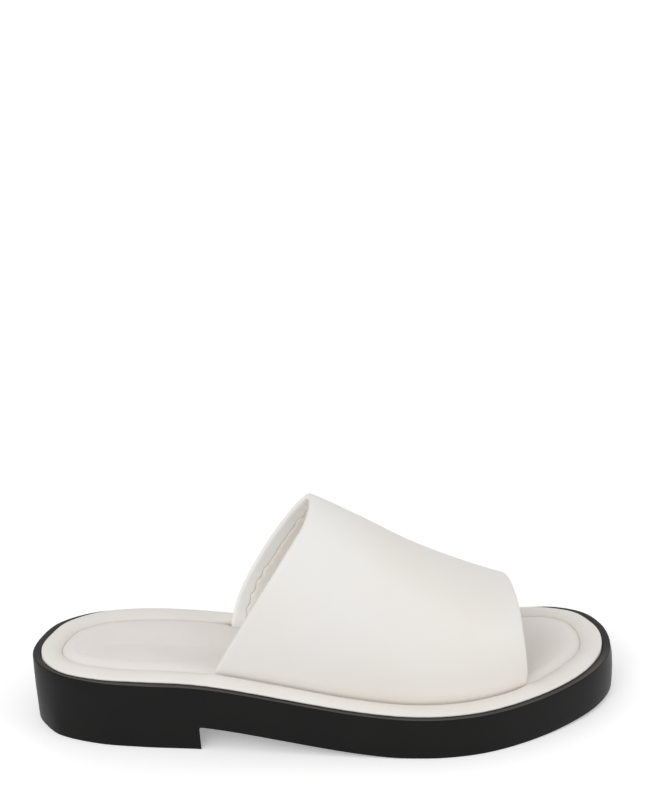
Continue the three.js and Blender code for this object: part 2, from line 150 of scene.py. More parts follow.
# The band's two edges from the groove up to the crest, as shares of the way along X
EDGE_COLUMNS = "up collar_outer collar_inner front_outer front_inner".split()
EDGES = [
    (0.0, 0.0, 0.0, 0.0, 0.0),
    (0.1, 0.112, 0.108, -0.17, 0.06),
    (0.3, 0.365, 0.427, 0.09, 0.2),
    (0.5, 0.626, 0.71, 0.4, 0.37),
    (0.7, 0.856, 0.908, 0.62, 0.57),
    (0.8, 0.935, 0.961, 0.72, 0.69),
    (0.9, 0.982, 0.983, 0.85, 0.86),
    (1.0, 1.0, 1.0, 1.0, 1.0),
]

# The sole's wall from the tread up: share of its height, of the heel's taper and of the toe's flare
WALL_FORM = [(0.25, 0.7, 1.15), (0.5, 0.38, 1.1), (0.8, 0.12, 0.75)]

# The sole's rounded edges: inset and lift at the tread, inset and drop at the rim
TREAD_EDGE = [(0.5, 0.0), (0.22, 0.1), (0.06, 0.3), (0.0, 0.6)]
RIM_EDGE = [(0.0, 1.0), (0.05, 0.62), (0.2, 0.28), (0.45, 0.08), (0.8, 0.0)]

# The insole's roll from the groove in: shares of its width
ROLL_SHARES = (0.0, 0.05, 0.13, 0.24, 0.38, 0.54, 0.72, 0.88)

# The border's section from its outer edge to the groove: share across, share of the swell over the
# ledge, share of the crown where the insole is next to it, and the same where the band is
BORDER_SECTION = [
    (0.0, 0.0, -0.3, -0.3),
    (0.0, 0.15, 0.03, 0.03),
    (0.0, 0.62, 0.08, 0.08),
    (0.0, 0.88, 0.18, 0.18),
    (0.0, 0.98, 0.3, 0.3),
    (0.0, 1.0, 0.41, 0.41),
    (0.0, 0.85, 0.55, 0.55),
    (0.0, 0.5, 0.69, 0.69),
    (0.05, 0.17, 0.81, 0.81),
    (0.13, 0.0, 0.9, 0.9),
    (0.23, 0.0, 0.97, 0.97),
    (0.34, 0.0, 1.0, 1.0),
    (0.46, 0.0, 0.99, 0.99),
    (0.57, 0.0, 0.94, 0.97),
    (0.68, 0.0, 0.85, 0.93),
    (0.78, 0.0, 0.73, 0.87),
    (0.86, 0.0, 0.59, 0.79),
    (0.93, 0.0, 0.43, 0.6),
    (0.98, 0.0, 0.22, 0.3),
    (1.0, 0.0, 0.02, 0.0),
    (1.0, 0.0, -0.6, -0.5),
]


def smooth_step(value, start, end):
    t = np.clip((value - start) / (end - start), 0.0, 1.0)
    return t * t * (3.0 - 2.0 * t)


def hermite(start, end, slope_start, slope_end, t):
    bend = t * (1 - t) * (slope_start * (1 - t) - slope_end * t)
    return start * (1 + 2 * t) * (1 - t) ** 2 + end * t**2 * (3 - 2 * t) + bend


def bezier(a, b, c, d, t):
    return a * (1 - t) ** 3 + 3 * b * (1 - t) ** 2 * t + 3 * c * (1 - t) * t**2 + d * t**3


def column_at(rows, column, at):
    """A column of a table on a smooth curve through its rows; the first column is the key."""
    key = np.array([row[0] for row in rows], float)
    value = np.array([row[column] for row in rows], float)
    low = np.maximum(np.arange(len(rows)) - 1, 0)
    high = np.minimum(np.arange(len(rows)) + 1, len(rows) - 1)
    slope = (value[high] - value[low]) / (key[high] - key[low])
    at = np.asarray(at, float)
    i = np.clip(np.searchsorted(key, at, side="left") - 1, 0, len(rows) - 2)
    span = key[i + 1] - key[i]
    t = np.clip((at - key[i]) / span, 0.0, 1.0)
    return hermite(value[i], value[i + 1], slope[i] * span, slope[i + 1] * span, t)


def section_at(name, x):
    return column_at(SECTIONS, SECTION_COLUMNS.index(name), np.asarray(x, float) / SOLE_LENGTH)


def edge_at(name, up):
    return column_at(EDGES, EDGE_COLUMNS.index(name), up)


def toe_spring(x):
    start = SPRING_START * SOLE_LENGTH
    return TOE_SPRING * (np.maximum(0.0, x - start) / (SOLE_LENGTH - start)) ** 2


def toe_flare(x):
    start = SPRING_START * SOLE_LENGTH
    slope = 2 * TOE_SPRING * np.maximum(0.0, x - start) / (SOLE_LENGTH - start) ** 2
    return slope * PLATFORM_THICKNESS * TOE_LEAN


def ledge_height(x):
    shank = smooth_step(x, SHANK_START * SOLE_LENGTH, SHANK_END * SOLE_LENGTH)
    return HEEL_HEIGHT + (PLATFORM_THICKNESS - HEEL_HEIGHT) * shank + toe_spring(x)


def closed_outline(samples=24):
    """Dense closed outline on a centripetal spline: columns x, y, inward x, inward y, ledge, border."""
    corner = np.array([(a * SOLE_LENGTH, b * BALL_WIDTH) for a, b, _, _ in OUTLINE])
    widths = np.array([(c * LEDGE_WIDTH, d * BORDER_WIDTH) for _, _, c, d in OUTLINE])
    count = len(OUTLINE)
    place, width = [], []
    t = np.arange(samples) / samples
    for i in range(count):
        p = [corner[(i + k) % count] for k in (-1, 0, 1, 2)]
        gap = [math.sqrt(math.dist(p[k], p[k + 1])) for k in range(3)]
        start = (p[1] - p[0]) / gap[0] - (p[2] - p[0]) / (gap[0] + gap[1]) + (p[2] - p[1]) / gap[1]
        end = (p[2] - p[1]) / gap[1] - (p[3] - p[1]) / (gap[1] + gap[2]) + (p[3] - p[2]) / gap[2]
        w = [widths[(i + k) % count] for k in (-1, 0, 1, 2)]
        for k in range(samples):
            place.append(hermite(p[1], p[2], start * gap[1], end * gap[1], t[k]))
            width.append(hermite(w[1], w[2], (w[2] - w[0]) / 2, (w[3] - w[1]) / 2, t[k]))
    place, width = np.array(place), np.array(width)
    along = np.roll(place, -1, 0) - np.roll(place, 1, 0)
    along /= np.linalg.norm(along, axis=1, keepdims=True)
    return np.column_stack([place, -along[:, 1], along[:, 0], width])


DENSE = closed_outline()

# The far corners of heel and toe, where the ledge is wider and the heel's outline a little further in
HEEL_CORNER = smooth_step(DENSE[:, 1], 5, 26) * (1 - smooth_step(DENSE[:, 0], 12, 46))
TOE_CORNER = smooth_step(DENSE[:, 1], 12, 34) * smooth_step(DENSE[:, 0], 228, 247)
DENSE[:, :2] += DENSE[:, 2:4] * (HEEL_CORNER_IN * HEEL_CORNER)[:, None]
LEDGE = DENSE[:, 4] + HEEL_CORNER_LEDGE * HEEL_CORNER + TOE_CORNER_LEDGE * TOE_CORNER
GROOVE_INSET = DENSE[:, 4] + DENSE[:, 5]

# From the tables' millimetres to the frame: the model's corner less the outline's
SOLE_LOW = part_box("sole")[0] / MM
ORIGIN = np.array([SOLE_LOW.x - DENSE[:, 0].min(), SOLE_LOW.y - DENSE[:, 1].min(), 0.0])


def rounded(line, reach, samples=900):
    """A closed line with its corners eased over that reach in millimetres."""
    closed = np.vstack([line, line[:1]])
    run = np.concatenate([[0.0], np.cumsum(np.linalg.norm(np.diff(closed, axis=0), axis=1))])
    even = np.linspace(0.0, run[-1], samples, endpoint=False)
    place = np.interp(even, run, closed[:, 0]) + 1j * np.interp(even, run, closed[:, 1])
    turns = np.fft.fftfreq(len(even), run[-1] / len(even))
    eased = np.fft.ifft(np.fft.fft(place) * np.exp(-0.5 * (2 * np.pi * turns * reach) ** 2))
    return np.column_stack([eased.real, eased.imag])


def inset_line(distance):
    """The outer and inner side of the line inside the outline by that distance, heel to toe."""
    distance = np.broadcast_to(distance, len(DENSE))
    line = DENSE[:, :2] + DENSE[:, 2:4] * distance[:, None]

    # Points that fold back near a tight curve are left out, and a deep line is eased
    gaps = np.linalg.norm(line[:, None, :] - DENSE[None, :, :2], axis=2).min(1)
    reach = 3.2 * float(smooth_step(distance.mean(), 5.0, 12.0))
    line = rounded(line[gaps > distance - 0.2], reach)
    line = np.roll(line, -int(np.argmin(line[:, 0])), 0)
    toe = int(np.argmax(line[:, 0]))
    outer = line[: toe + 1]
    inner = np.vstack([line[toe:], line[:1]])[::-1]
    return outer, inner


def side_at(side, x):
    return np.interp(x, np.maximum.accumulate(side[:, 0]), side[:, 1])


GROOVE = inset_line(GROOVE_INSET)

# Stations along each side of a ring, and steps straight across the insole
STATIONS = 260
INSOLE_STEPS = 44
STATION_SHARE = (1 - np.cos(np.pi * np.arange(STATIONS + 1) / STATIONS)) / 2


def ring(distance, height, shift=None):
    """Points round an inset line, heel, outer side, toe, inner side back, at a height for each X and
    moved along X by a shift."""
    outer, inner = inset_line(distance)
    x = outer[0, 0] + (outer[-1, 0] - outer[0, 0]) * STATION_SHARE
    there = np.column_stack([x, side_at(outer, x)])
    back = np.column_stack([x, side_at(inner, x)])[1:-1][::-1]
    flat = np.vstack([there, back])
    flat[0, 1], flat[STATIONS, 1] = outer[0, 1], outer[-1, 1]
    z = height(flat[:, 0])
    if shift is not None:
        flat[:, 0] += shift(flat[:, 0])
    return np.column_stack([flat, z])


def strip(first, second, count):
    """Quads joining two closed rows of the same length, by the index each starts at."""
    i = np.arange(count)
    j = (i + 1) % count
    return np.column_stack([first + i, first + j, second + j, second + i]).tolist()


def walls(rows, count):
    """Quads joining each closed row to the next one."""
    faces = []
    for i in range(rows - 1):
        faces += strip(i * count, (i + 1) * count, count)
    return faces


def across(start, facing):
    """Faces straight across a ring, outer side to inner side."""
    count = 2 * STATIONS
    faces = []
    for i in range(STATIONS):
        a, b = start + i, start + i + 1
        c, d = start + count - i - 1, start + (count - i) % count
        face = [a, b, c] if i == 0 else [a, b, d] if i == STATIONS - 1 else [a, b, c, d]
        faces.append(face if facing > 0 else face[::-1])
    return faces


def piece(name, points, faces, material, stands_for=()):
    """A finished piece from points in millimetres, riding on the sandal's one body."""
    mesh = bpy.data.meshes.new(name)
    mesh.from_pydata(((np.asarray(points) + ORIGIN) * MM).tolist(), [], faces)
    mesh.validate()
    mesh.polygons.foreach_set("use_smooth", [True] * len(mesh.polygons))
    mesh.materials.append(material)
    made = bpy.data.objects.new(name, mesh)
    bpy.context.scene.collection.objects.link(made)
    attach(made, "root")
    if stands_for:
        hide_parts(*stands_for)
    return made


def linear(red, green, blue):
    """A colour given as it looks on a screen, 0 to 255, for a shader."""
    def one(v):
        v /= 255.0
        return v / 12.92 if v <= 0.04045 else ((v + 0.055) / 1.055) ** 2.4

    return (one(red), one(green), one(blue), 1.0)


def new_group(name, inputs, outputs):
    """An empty shader node group with its named inputs and outputs."""
    tree = bpy.data.node_groups.new(name, "ShaderNodeTree")
    for label, kind, value in inputs:
        socket = tree.interface.new_socket(label, in_out="INPUT", socket_type=kind)
        socket.default_value = value
    for label, kind in outputs:
        tree.interface.new_socket(label, in_out="OUTPUT", socket_type=kind)
    return tree, tree.nodes.new("NodeGroupInput"), tree.nodes.new("NodeGroupOutput")


def math_node(tree, operation, first, second):
    node = tree.nodes.new("ShaderNodeMath")
    node.operation = operation
    for socket, value in zip(node.inputs, (first, second)):
        if isinstance(value, (int, float)):
            socket.default_value = value
        else:
            tree.links.new(value, socket)
    return node.outputs[0]


def noise_node(tree, vector, scale, detail, roughness):
    node = tree.nodes.new("ShaderNodeTexNoise")
    node.inputs["Detail"].default_value = detail
    node.inputs["Roughness"].default_value = roughness
    tree.links.new(vector, node.inputs["Vector"])
    if isinstance(scale, (int, float)):
        node.inputs["Scale"].default_value = scale
    else:
        tree.links.new(scale, node.inputs["Scale"])
    return node.outputs["Fac"]


def leather_grain_group():
    """Fine calf grain: tight cells softened by noise, and wide soft handling marks."""
    tree, given, result = new_group(
        "leather_grain",
        [
            ("Cells per metre", "NodeSocketFloat", 1500.0),
            ("Marks per metre", "NodeSocketFloat", 45.0),
            ("Mark depth", "NodeSocketFloat", 0.4),
        ],
        [("Height", "NodeSocketFloat")],
    )
    place = tree.nodes.new("ShaderNodeTexCoord").outputs["Object"]
    cells = tree.nodes.new("ShaderNodeTexVoronoi")
    cells.feature = "SMOOTH_F1"
    tree.links.new(place, cells.inputs["Vector"])
    tree.links.new(given.outputs["Cells per metre"], cells.inputs["Scale"])
    fine = noise_node(tree, place, given.outputs["Cells per metre"], 4.0, 0.6)
    marks = noise_node(tree, place, given.outputs["Marks per metre"], 3.0, 0.55)
    grain = math_node(tree, "ADD", math_node(tree, "MULTIPLY", cells.outputs["Distance"], 0.6), fine)
    deep = math_node(tree, "MULTIPLY", marks, given.outputs["Mark depth"])
    tree.links.new(math_node(tree, "ADD", grain, deep), result.inputs["Height"])
    return tree


def patchy_tone_group():
    """Colour and gloss that drift slowly over a surface, as on a handled hide or a moulding."""
    tree, given, result = new_group(
        "patchy_tone",
        [
            ("Main colour", "NodeSocketColor", (0.8, 0.8, 0.8, 1.0)),
            ("Second colour", "NodeSocketColor", (0.7, 0.7, 0.7, 1.0)),
            ("Patches per metre", "NodeSocketFloat", 20.0),
            ("Least roughness", "NodeSocketFloat", 0.4),
            ("Most roughness", "NodeSocketFloat", 0.55),
        ],
        [("Colour", "NodeSocketColor"), ("Roughness", "NodeSocketFloat")],
    )
    place = tree.nodes.new("ShaderNodeTexCoord").outputs["Object"]
    patches = noise_node(tree, place, given.outputs["Patches per metre"], 4.0, 0.55)
    spread = tree.nodes.new("ShaderNodeMapRange")
    spread.inputs["From Min"].default_value = 0.35
    spread.inputs["From Max"].default_value = 0.65
    tree.links.new(patches, spread.inputs["Value"])
    mix = tree.nodes.new("ShaderNodeMix")
    mix.data_type = "RGBA"
    tree.links.new(spread.outputs["Result"], mix.inputs["Factor"])
    tree.links.new(given.outputs["Main colour"], mix.inputs[6])
    tree.links.new(given.outputs["Second colour"], mix.inputs[7])
    gloss = tree.nodes.new("ShaderNodeMapRange")
    tree.links.new(patches, gloss.inputs["Value"])
    tree.links.new(given.outputs["Least roughness"], gloss.inputs["To Min"])
    tree.links.new(given.outputs["Most roughness"], gloss.inputs["To Max"])
    tree.links.new(mix.outputs[2], result.inputs["Colour"])
    tree.links.new(gloss.outputs["Result"], result.inputs["Roughness"])
    return tree


GRAIN = leather_grain_group()
TONE = patchy_tone_group()


def finish(name, main, second, roughness, grain, patches, specular):
    """A material of the two shared groups. grain is (cells, marks, mark depth, bump distance in mm)."""
    made = bpy.data.materials.new(name)
    made.use_nodes = True
    tree = made.node_tree
    shader = tree.nodes["Principled BSDF"]
    tone = tree.nodes.new("ShaderNodeGroup")
    tone.node_tree = TONE
    tone.inputs["Main colour"].default_value = linear(*main)
    tone.inputs["Second colour"].default_value = linear(*second)
    tone.inputs["Patches per metre"].default_value = patches
    tone.inputs["Least roughness"].default_value = roughness[0]
    tone.inputs["Most roughness"].default_value = roughness[1]
    tree.links.new(tone.outputs["Colour"], shader.inputs["Base Color"])
    tree.links.new(tone.outputs["Roughness"], shader.inputs["Roughness"])
    texture = tree.nodes.new("ShaderNodeGroup")
    texture.node_tree = GRAIN
    texture.inputs["Cells per metre"].default_value = grain[0]
    texture.inputs["Marks per metre"].default_value = grain[1]
    texture.inputs["Mark depth"].default_value = grain[2]
    bump = tree.nodes.new("ShaderNodeBump")
    bump.inputs["Strength"].default_value = 0.5
    bump.inputs["Distance"].default_value = grain[3] * MM
    tree.links.new(texture.outputs["Height"], bump.inputs["Height"])
    tree.links.new(bump.outputs["Normal"], shader.inputs["Normal"])
    shader.inputs["Specular IOR Level"].default_value = specular
    return made


def fade_painted_highlight(material, inner_colour, outer_side, inner_side):
    """Fades a material's colour across the shoe, from its outer side to its inner, in metres of Y; on the
    ledge this keeps the painted highlight on the outer side and a darker colour on the inner.
    """
    tree = material.node_tree
    base = tree.nodes["Principled BSDF"].inputs["Base Color"]
    place = tree.nodes.new("ShaderNodeSeparateXYZ")
    tree.links.new(tree.nodes.new("ShaderNodeTexCoord").outputs["Object"], place.inputs[0])
    fade = tree.nodes.new("ShaderNodeMapRange")
    fade.interpolation_type = "SMOOTHSTEP"
    fade.inputs["From Min"].default_value = outer_side
    fade.inputs["From Max"].default_value = inner_side
    tree.links.new(place.outputs["Y"], fade.inputs["Value"])
    mix = tree.nodes.new("ShaderNodeMix")
    mix.data_type = "RGBA"
    tree.links.new(fade.outputs["Result"], mix.inputs["Factor"])
    tree.links.new(base.links[0].from_socket, mix.inputs[6])
    mix.inputs[7].default_value = linear(*inner_colour)
    tree.links.new(mix.outputs[2], base)


BAND_LEATHER = finish(
    "white_band_leather", (243, 241, 237), (242, 237, 230), (0.4, 0.52), (1700, 40, 1.2, 0.06), 14, 0.45)
BORDER_LEATHER = finish(
    "white_border_leather", (243, 239, 234), (238, 233, 227), (0.42, 0.56), (1700, 240, 1.8, 0.1), 24, 0.4)
INSOLE_LEATHER = finish(
    "white_insole_leather", (244, 238, 234), (238, 232, 227), (0.48, 0.62), (1500, 50, 1.5, 0.08), 18, 0.35)
# The turned-in margin is the band's own leather, made lighter than the outer face as painted light against
# the shade inside the collar and toe opening
TURNED_IN_LEATHER_PAINTED_LIGHT = finish(
    "turned_in_leather_painted_light", (252, 251, 248), (250, 248, 245), (0.46, 0.58), (1700, 60, 1.2, 0.06), 18, 0.4)
LINING_LEATHER = finish(
    "pale_lining_leather", (247, 243, 237), (241, 237, 230), (0.55, 0.7), (1200, 70, 1.0, 0.08), 25, 0.3)
SOLE_RUBBER = finish(
    "black_sole_rubber", (15, 15, 15), (20, 20, 19), (0.36, 0.46), (900, 30, 1.5, 0.05), 30, 0.14)
# The ledge rubber is lighter than the sole as a painted highlight along the outer side, fading to near
# black towards the inner side
LEDGE_RUBBER_PAINTED_HIGHLIGHT = finish(
    "ledge_rubber_painted_highlight", (80, 78, 75), (70, 68, 65), (0.4, 0.5), (900, 30, 1.5, 0.06), 40, 0.26)
fade_painted_highlight(LEDGE_RUBBER_PAINTED_HIGHLIGHT, (24, 23, 23), -0.014, 0.010)


def make_sole():
    """The black moulding: tread edge, wall, rounded rim, ledge and tray, with the arch cut through; the
    ledge's top faces get a lighter rubber as a painted highlight.
    """
    taper = HEEL_TAPER * (1 - smooth_step(DENSE[:, 0], 0, TAPER_REACH))
    rings = [
        ring(taper + TREAD_RECESS + 0.4, lambda x: toe_spring(x) + 1.0, toe_flare),
        ring(taper + TREAD_RECESS, toe_spring, toe_flare),
    ]
    for inset, lift in TREAD_EDGE:
        rings.append(ring(taper + inset, lambda x, up=lift: toe_spring(x) + up, toe_flare))
    foot = lambda x: toe_spring(x) + TREAD_EDGE[-1][1]
    head = lambda x: ledge_height(x) - RIM_EDGE[0][1]
    for up, tapered, flared in WALL_FORM:
        wall_height = lambda x, up=up: foot(x) + (head(x) - foot(x)) * up
        rings.append(ring(taper * tapered, wall_height, lambda x, flared=flared: toe_flare(x) * flared))
    for inset, drop in RIM_EDGE:
        rings.append(ring(inset, lambda x, down=drop: ledge_height(x) - down))
    rings.append(ring(LEDGE - 0.25, ledge_height))
    rings.append(ring(LEDGE, lambda x: ledge_height(x) - 0.2))
    rings.append(ring(LEDGE, lambda x: ledge_height(x) - TRAY_DEPTH))
    count = 2 * STATIONS
    faces = across(0, -1) + walls(len(rings), count) + across((len(rings) - 1) * count, 1)
    made = piece("sole_unit", np.vstack(rings), faces, SOLE_RUBBER, ["sole"])
    cut_arch(made)
    made.data.set_sharp_from_angle(angle=math.radians(38))

    # The ledge's faces, those at its height that look up, take the lighter rubber that carries the painted
    # highlight
    made.data.materials.append(LEDGE_RUBBER_PAINTED_HIGHLIGHT)
    for face in made.data.polygons:
        middle = np.array(face.center) / MM - ORIGIN
        above = middle[2] - float(ledge_height(middle[0]))
        face.material_index = int(above > -0.45 and face.normal.z > 0.5)


def cut_arch(sole):
    """Cuts the air under the shank out of the sole, from the heel's front face to the forefoot."""
    end = SHANK_END * SOLE_LENGTH
    x = np.linspace(HEEL_LENGTH, end, 49)
    top = np.maximum(0.0, ledge_height(x) - PLATFORM_THICKNESS)
    first, below = top[0], -20.0
    corner = BREAST_CORNER
    inner = HEEL_LENGTH - BREAST_LEAN
    section = [
        (HEEL_LENGTH - BREAST_LEAN * below / first, below),
        (inner, first - corner),
        (inner + corner * 0.3, first - corner * 0.3),
        (inner + corner, first),
    ]
    section += list(zip(x[1:], top[1:])) + [(end + 0.01, below)]
    points = [(a, -BALL_WIDTH, b) for a, b in section] + [(a, BALL_WIDTH, b) for a, b in section]
    n = len(section)
    faces = [list(range(n))[::-1], list(range(n, 2 * n))]
    faces += [[(i + 1) % n, n + (i + 1) % n, n + i, i] for i in range(n)]
    mesh = bpy.data.meshes.new("arch_cut")
    mesh.from_pydata(((np.array(points) + ORIGIN) * MM).tolist(), [], faces)
    tool = bpy.data.objects.new("arch_cut", mesh)
    bpy.context.scene.collection.objects.link(tool)
    cut = sole.modifiers.new("arch", "BOOLEAN")
    cut.operation = "DIFFERENCE"
    cut.solver = "EXACT"
    cut.object = tool
    bpy.context.view_layer.update()
    shaped = bpy.data.meshes.new_from_object(sole.evaluated_get(bpy.context.evaluated_depsgraph_get()))
    sole.modifiers.clear()
    sole.data = shaped
    bpy.data.objects.remove(tool)


def band_window(x, y, reach=1.6):
    """1 where the band's wall stands in the groove beside this point, 0 clear of it."""
    start = np.where(y < MIDDLE_Y, COLLAR_OUTER_X, COLLAR_INNER_X) + 0.3
    end = np.where(y < MIDDLE_Y, FRONT_OUTER_X, FRONT_INNER_X) - 0.3
    return smooth_step(x, start - reach, start) * (1 - smooth_step(x, end, end + reach))


def border_wobble(index, share):
    """The soft unevenness of stuffed leather round the border, in millimetres."""
    turn = 2 * np.pi * index / (2 * STATIONS)
    slow = 0.1 * np.sin(5 * turn + 0.7) + 0.07 * np.sin(11 * turn + 2.1) + 0.05 * np.sin(23 * turn)
    return slow * math.sin(math.pi * share)


def make_border():
    """The padded border: a stuffed leather ring crowned over the ledge, tucked down into its groove."""
    outer = LEDGE + BORDER_GAP
    inner = GROOVE_INSET - PAD_CLEARANCE - BAND_CREASE * band_window(DENSE[:, 0], DENSE[:, 1])
    turn = np.linspace(0, 2 * np.pi, len(DENSE), endpoint=False)
    crinkle = 0.05 * np.sin(97 * turn + 2.0 * np.sin(13 * turn)) + 0.03 * np.sin(139 * turn + 1.3)
    swell = (BORDER_SWELL + crinkle) * smooth_step(DENSE[:, 3], 0.3, 1.0)
    floor = lambda x: ledge_height(x) - TRAY_DEPTH + PAD_LIFT
    index = np.arange(2 * STATIONS)
    rings = [ring(outer, floor)]
    for share, swollen, open_height, band_height in BORDER_SECTION:
        made = ring(outer + (inner - outer) * share - swell * swollen, ledge_height)
        beside = band_window(made[:, 0], made[:, 1], 6.0)
        made[:, 2] += BORDER_CROWN * (open_height + (band_height - open_height) * beside)
        made[:, 2] += border_wobble(index, share)
        rings.append(made)
    rings.append(ring(inner, floor))
    count = 2 * STATIONS
    faces = walls(len(rings), count) + strip((len(rings) - 1) * count, 0, count)
    made = piece("border_pad", np.vstack(rings), faces, BORDER_LEATHER, ["footbed_border"])


# Soft forms of the insole under heel, ball and toes: place along X and Y, half widths, height
INSOLE_FORMS = [
    (34.0, 3.0, 24.0, 15.0, -0.35),
    (166.0, 0.0, 30.0, 22.0, -0.3),
    (224.0, 6.0, 10.0, 24.0, -0.3),
    (240.0, 12.0, 6.0, 14.0, 0.2),
]


def make_insole():
    """The padded insole: leather rolled down into the groove all round, dished under the foot."""
    window = band_window(DENSE[:, 0], DENSE[:, 1])
    beside = GROOVE_INSET + PAD_CLEARANCE + (WALL + BAND_CLEARANCE) * window
    top = lambda x: ledge_height(x) + INSOLE_EDGE
    rings = [ring(beside, lambda x: ledge_height(x) - TRAY_DEPTH + PAD_LIFT)]
    for rolled in ROLL_SHARES:
        drop = INSOLE_EDGE * (1 - rolled) ** 1.8
        rings.append(ring(beside + INSOLE_ROLL * rolled, lambda x, d=drop: top(x) - d))
    rings.append(ring(beside + INSOLE_ROLL, top))
    rings.append(ring(beside + INSOLE_ROLL + 1.2, top))
    count = 2 * STATIONS
    points = np.vstack(rings)
    faces = across(0, -1) + walls(len(rings), count)
    start = (len(rings) - 1) * count

    # Rows straight across the top, closer together at both sides
    even = np.arange(1, INSOLE_STEPS) / INSOLE_STEPS
    share = (1 - np.cos(np.pi * even)) / 2 * 0.6 + even * 0.4
    rows = []
    added = [points]
    total = len(points)
    for i in range(1, STATIONS):
        a, b = points[start + i], points[start + count - i]
        rows.append([start + i] + list(range(total, total + len(share))) + [start + count - i])
        added.append(a + (b - a) * share[:, None])
        total += len(share)
    points = np.vstack(added)
    for i in range(len(rows) - 1):
        for k in range(len(rows[0]) - 1):
            faces.append([rows[i][k], rows[i + 1][k], rows[i + 1][k + 1], rows[i][k + 1]])
    for k in range(len(rows[0]) - 1):
        faces.append([start, rows[0][k], rows[0][k + 1]])
        faces.append([start + STATIONS, rows[-1][k + 1], rows[-1][k]])

    # The dish and the soft forms, away from the roll
    body = points[start:]
    away = np.linalg.norm(body[:, None, :2] - rings[0][None, :, :2], axis=2).min(1)
    rim = INSOLE_ROLL + 1.0
    dish = INSOLE_DISH * smooth_step(away, rim, 27.0)
    soft = 0.12 * np.sin(body[:, 0] / 17.0 + 0.4) * np.sin(body[:, 1] / 13.0 + 1.0)
    soft *= smooth_step(away, rim, 18.0)
    for place, side, long, broad, height in INSOLE_FORMS:
        soft += height * np.exp(-(((body[:, 0] - place) / long) ** 2) - ((body[:, 1] - side) / broad) ** 2)
    points[start:, 2] += soft - dish
    made = piece("insole_pad", points, faces, INSOLE_LEATHER, ["insole"])


def last_point(x, turn):
    """The last: turn 0 is the outer side at the groove, 1 the crest, 2 the inner side at the groove."""
    x, turn = np.broadcast_arrays(np.asarray(x, float), np.asarray(turn, float))
    outer = turn <= 1
    t = np.where(outer, turn, 2 - turn)
    base = ledge_height(x) + INSOLE_EDGE
    top = ledge_height(x) + INSTEP_HEIGHT * section_at("crest", x)
    ridge = BALL_WIDTH * section_at("ridge", x)
    foot = np.where(outer, side_at(GROOVE[0], x), side_at(GROOVE[1], x))
    lean = np.radians(np.where(outer, section_at("lean_outer", x), section_at("lean_inner", x)))
    rise = (top - base) * np.where(outer, section_at("rise_outer", x), section_at("rise_inner", x))
    sideways = np.where(outer, -rise, rise) * np.sin(lean)
    shoulder = ridge + (foot - ridge) * section_at("spread", x)
    y = bezier(foot, foot + sideways, shoulder, ridge, t)
    z = bezier(base, base + rise * np.cos(lean), top, top, t)
    return np.stack([x, y, z], -1)


def last_normal(x, turn):
    """The last's outward direction, from its slope along the shoe and around it."""
    along = last_point(x + 0.5, turn) - last_point(x - 0.5, turn)
    around = last_point(x, np.minimum(turn + 0.01, 2)) - last_point(x, np.maximum(turn - 0.01, 0))
    normal = np.cross(along, around)
    return normal / np.linalg.norm(normal, axis=-1, keepdims=True)


def edge_x(turn, which):
    """X of the band's collar or front edge at a turn."""
    outer = turn <= 1
    up = np.where(outer, turn, 2 - turn)
    crest = COLLAR_CREST_X if which == "collar" else FRONT_CREST_X
    near, far = (COLLAR_OUTER_X, COLLAR_INNER_X) if which == "collar" else (FRONT_OUTER_X, FRONT_INNER_X)
    foot = np.where(outer, near, far)
    share = np.where(outer, edge_at(which + "_outer", up), edge_at(which + "_inner", up))
    return foot + (crest - foot) * share


# Soft forms of the worn-in band: place along X, turn, half width along X, half width in turn, height
SOFT_FORMS = [
    (108.0, 0.55, 16.0, 0.22, -0.35),
    (126.0, 0.32, 22.0, 0.16, 0.25),
    (150.0, 0.75, 30.0, 0.25, 0.2),
    (176.0, 0.42, 20.0, 0.2, -0.25),
    (204.0, 0.6, 12.0, 0.25, 0.25),
    (190.0, 0.12, 26.0, 0.08, -0.2),
    (120.0, 1.5, 18.0, 0.2, -0.3),
    (170.0, 1.45, 26.0, 0.22, 0.2),
    (205.0, 1.4, 14.0, 0.22, -0.2),
]


def in_band(x, turn, depth):
    """Points of the band that deep below its outer face, with its soft forms."""
    out = np.zeros(len(x))
    for place, at, long, around, height in SOFT_FORMS:
        out += height * np.exp(-(((x - place) / long) ** 2) - ((turn - at) / around) ** 2)
    out *= smooth_step(min(turn, 2 - turn), 0.0, 0.12)
    return last_point(x, turn) + last_normal(x, turn) * (out - depth)[:, None]


def wave(turn, seed):
    """A slow uneven wave along an edge, between about -1 and 1."""
    slow = 0.5 * np.sin(19 * turn + seed) + 0.3 * np.sin(43 * turn + 2.3 * seed)
    return slow + 0.2 * np.sin(71 * turn - seed)


def pucker(turn, seed):
    """Short gathers across a turned-in edge."""
    return np.sin(88 * turn + 3.0 * np.sin(9 * turn + seed)) * (0.6 + 0.4 * np.sin(13 * turn + seed))


def collar_margin(turn):
    """Width of the margin turned in at the collar, cut and gathered unevenly."""
    return COLLAR_TURN_IN + 0.55 * float(wave(turn, 1.3)) + 0.5 * float(pucker(turn, 2.2))


def front_margin(turn):
    """Width of the margin turned in at the toe opening."""
    return FRONT_TURN_IN + 0.5 * float(wave(turn, 4.1)) + 0.2 * float(pucker(turn, 0.4))


ROWS_PER_SIDE = 84
TURNS = np.concatenate([np.linspace(0, 1, ROWS_PER_SIDE + 1), np.linspace(1, 2, ROWS_PER_SIDE + 1)[1:]])


